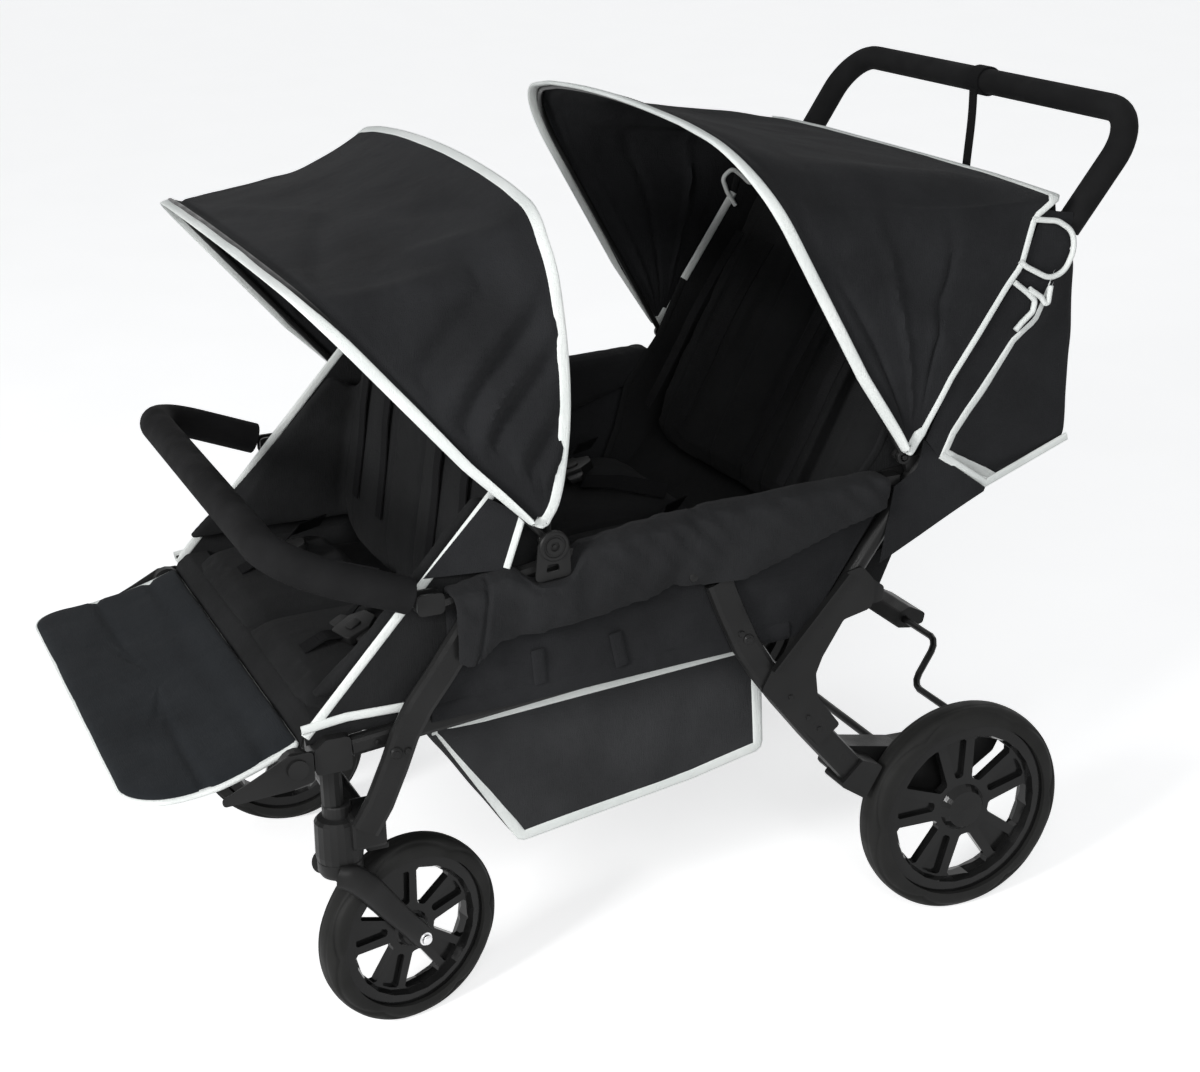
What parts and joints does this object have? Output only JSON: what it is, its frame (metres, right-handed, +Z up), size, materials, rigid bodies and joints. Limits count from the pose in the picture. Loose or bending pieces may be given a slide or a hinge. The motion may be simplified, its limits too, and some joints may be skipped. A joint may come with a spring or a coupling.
{
  "type": "quadruple stroller",
  "caption": "Four-seat stroller in two rows: folding tube frame, canopies over each row, bumper bar, basket and swivelling front wheels.",
  "frame": {"origin": "on the floor under the middle of the stroller", "axes": "+Y towards the handle, +Z up, +X to the stroller's left"},
  "size_m": [0.76, 1.331, 1.0627],
  "materials": {
    "coated_steel": "satin black powder coat",
    "plastic": "fine-textured black",
    "gloss_plastic": "glossy black",
    "tyre": "matt black rubber",
    "foam": "black foam grip",
    "padding": "padded black woven polyester",
    "fabric": "black woven polyester with white piping"
  },
  "bodies": {
    "frame": {"side_rail_left": "coated_steel", "side_rail_right": "coated_steel", "front_leg_left": "coated_steel", "front_leg_right": "coated_steel", "rail_corner_left": "plastic", "rail_corner_right": "plastic", "caster_housing_left": "plastic", "caster_housing_right": "plastic", "cross_tube": "coated_steel", "seat_tube_front": "coated_steel", "seat_tube_rear": "coated_steel", "front_seat": "padding", "front_back": "padding", "rear_seat": "padding", "foot_well": "fabric", "side_panel_left": "fabric", "side_panel_right": "fabric", "basket": "fabric"},
    "rear_frame": {"rear_leg_left": "coated_steel", "rear_leg_right": "coated_steel", "rear_bracket_left": "coated_steel", "rear_bracket_right": "coated_steel", "rear_housing_left": "plastic", "rear_housing_right": "plastic", "rear_axle": "coated_steel"},
    "handle": {"handle_tube": "coated_steel", "handle_grip": "foam", "handle_strap": "fabric", "rear_panel": "fabric", "rear_canopy": "fabric"},
    "armrests": {"armrest_tube_left": "coated_steel", "armrest_tube_right": "coated_steel", "armrest_cover_left": "padding", "armrest_cover_right": "padding", "front_canopy_rear_bow": "coated_steel", "front_canopy": "fabric"},
    "bumper": {"bumper_bar": "foam"},
    "footrest": {"footrest": "padding"},
    "rear_backrest": {"rear_back": "padding"},
    "canopy_front_bow": {"front_canopy_front_bow": "coated_steel"},
    "canopy_middle_bow": {"front_canopy_middle_bow": "coated_steel"},
    "rear_canopy_front_bow": {"rear_canopy_bow": "coated_steel"},
    "brake": {"brake_bar": "coated_steel", "brake_pedal": "plastic"},
    "caster_left": {"caster_fork_left": "plastic"},
    "front_wheel_left": {"front_rim_left": "gloss_plastic", "front_tyre_left": "tyre"},
    "rear_wheel_left": {"rear_rim_left": "gloss_plastic", "rear_tyre_left": "tyre"},
    "swivel_lock_left": {"swivel_lock_left": "plastic"},
    "fold_latch_left": {"fold_latch_left": "plastic"},
    "caster_right": {"caster_fork_right": "plastic"},
    "front_wheel_right": {"front_rim_right": "gloss_plastic", "front_tyre_right": "tyre"},
    "rear_wheel_right": {"rear_rim_right": "gloss_plastic", "rear_tyre_right": "tyre"},
    "swivel_lock_right": {"swivel_lock_right": "plastic"},
    "fold_latch_right": {"fold_latch_right": "plastic"}
  },
  "joints": [
    {"name": "frame_fold", "type": "hinge", "parent": "frame", "child": "rear_frame", "pos_m": [0, 0.094, 0.455], "axis": [-1, 0, 0], "range_deg": [0, 40], "deforming": ["side_panel_left", "side_panel_right"]},
    {"name": "handle_fold", "type": "hinge", "parent": "rear_frame", "child": "handle", "pos_m": [0, 0.186, 0.404], "axis": [-1, 0, 0], "range_deg": [-17.9, 0], "deforming": ["rear_panel"]},
    {"name": "armrest_tilt", "type": "hinge", "parent": "frame", "child": "armrests", "pos_m": [0, -0.245, 0.542], "axis": [-1, 0, 0], "range_deg": [0, 10.45]},
    {"name": "bumper_lift", "type": "hinge", "parent": "armrests", "child": "bumper", "pos_m": [0, -0.302, 0.566], "axis": [-1, 0, 0], "range_deg": [0, 70]},
    {"name": "footrest_drop", "type": "hinge", "parent": "frame", "child": "footrest", "pos_m": [0, -0.47, 0.386], "axis": [1, 0, 0], "range_deg": [0, 40]},
    {"name": "rear_recline", "type": "hinge", "parent": "handle", "child": "rear_backrest", "pos_m": [0, 0.268, 0.497], "axis": [-1, 0, 0], "range_deg": [0, 10]},
    {"name": "front_canopy_fold", "type": "hinge", "parent": "armrests", "child": "canopy_front_bow", "pos_m": [0, -0.155, 0.617], "axis": [-1, 0, 0], "range_deg": [0, 38], "deforming": ["front_canopy"]},
    {"name": "front_canopy_middle", "type": "hinge", "parent": "armrests", "child": "canopy_middle_bow", "pos_m": [0, -0.155, 0.617], "axis": [-1, 0, 0], "range_deg": [0, 20]},
    {"name": "rear_canopy_fold", "type": "hinge", "parent": "handle", "child": "rear_canopy_front_bow", "pos_m": [0, 0.322, 0.648], "axis": [-1, 0, 0], "range_deg": [0, 45], "deforming": ["rear_canopy"]},
    {"name": "brake_press", "type": "hinge", "parent": "rear_frame", "child": "brake", "pos_m": [0, 0.482, 0.22], "axis": [-1, 0, 0], "range_deg": [0, 15]},
    {"name": "caster_swivel_left", "type": "hinge", "parent": "frame", "child": "caster_left", "pos_m": [0.316, -0.42, 0.2475], "axis": [0, 0, 1], "continuous": true},
    {"name": "front_wheel_spin_left", "type": "hinge", "parent": "caster_left", "child": "front_wheel_left", "pos_m": [0.29643, -0.33523, 0.1214], "axis": [0.9744, 0.225, 0], "continuous": true},
    {"name": "rear_wheel_spin_left", "type": "hinge", "parent": "rear_frame", "child": "rear_wheel_left", "pos_m": [0.3575, 0.42, 0.1456], "axis": [1, 0, 0], "continuous": true},
    {"name": "swivel_lock_flip_left", "type": "hinge", "parent": "frame", "child": "swivel_lock_left", "pos_m": [0.316, -0.3895, 0.2543], "axis": [1, 0, 0], "range_deg": [0, 8]},
    {"name": "fold_latch_press_left", "type": "hinge", "parent": "rear_frame", "child": "fold_latch_left", "pos_m": [0.3595, 0.254, 0.498], "axis": [1, 0, 0], "range_deg": [0, 10], "stiffness_Nm_per_rad": 0.4},
    {"name": "caster_swivel_right", "type": "hinge", "parent": "frame", "child": "caster_right", "pos_m": [-0.316, -0.42, 0.2475], "axis": [0, 0, 1], "continuous": true},
    {"name": "front_wheel_spin_right", "type": "hinge", "parent": "caster_right", "child": "front_wheel_right", "pos_m": [-0.29643, -0.33523, 0.1214], "axis": [0.9744, -0.225, 0], "continuous": true},
    {"name": "rear_wheel_spin_right", "type": "hinge", "parent": "rear_frame", "child": "rear_wheel_right", "pos_m": [-0.3575, 0.42, 0.1456], "axis": [1, 0, 0], "continuous": true},
    {"name": "swivel_lock_flip_right", "type": "hinge", "parent": "frame", "child": "swivel_lock_right", "pos_m": [-0.316, -0.3895, 0.2543], "axis": [1, 0, 0], "range_deg": [0, 8]},
    {"name": "fold_latch_press_right", "type": "hinge", "parent": "rear_frame", "child": "fold_latch_right", "pos_m": [-0.3595, 0.254, 0.498], "axis": [1, 0, 0], "range_deg": [0, 10], "stiffness_Nm_per_rad": 0.4}
  ],
  "couplings": [
    {"joint": "handle_fold", "follows": "frame_fold", "ratio": -0.445},
    {"joint": "armrest_tilt", "follows": "frame_fold", "ratio": 0.26},
    {"joint": "front_canopy_middle", "follows": "front_canopy_fold", "ratio": 0.5}
  ]
}
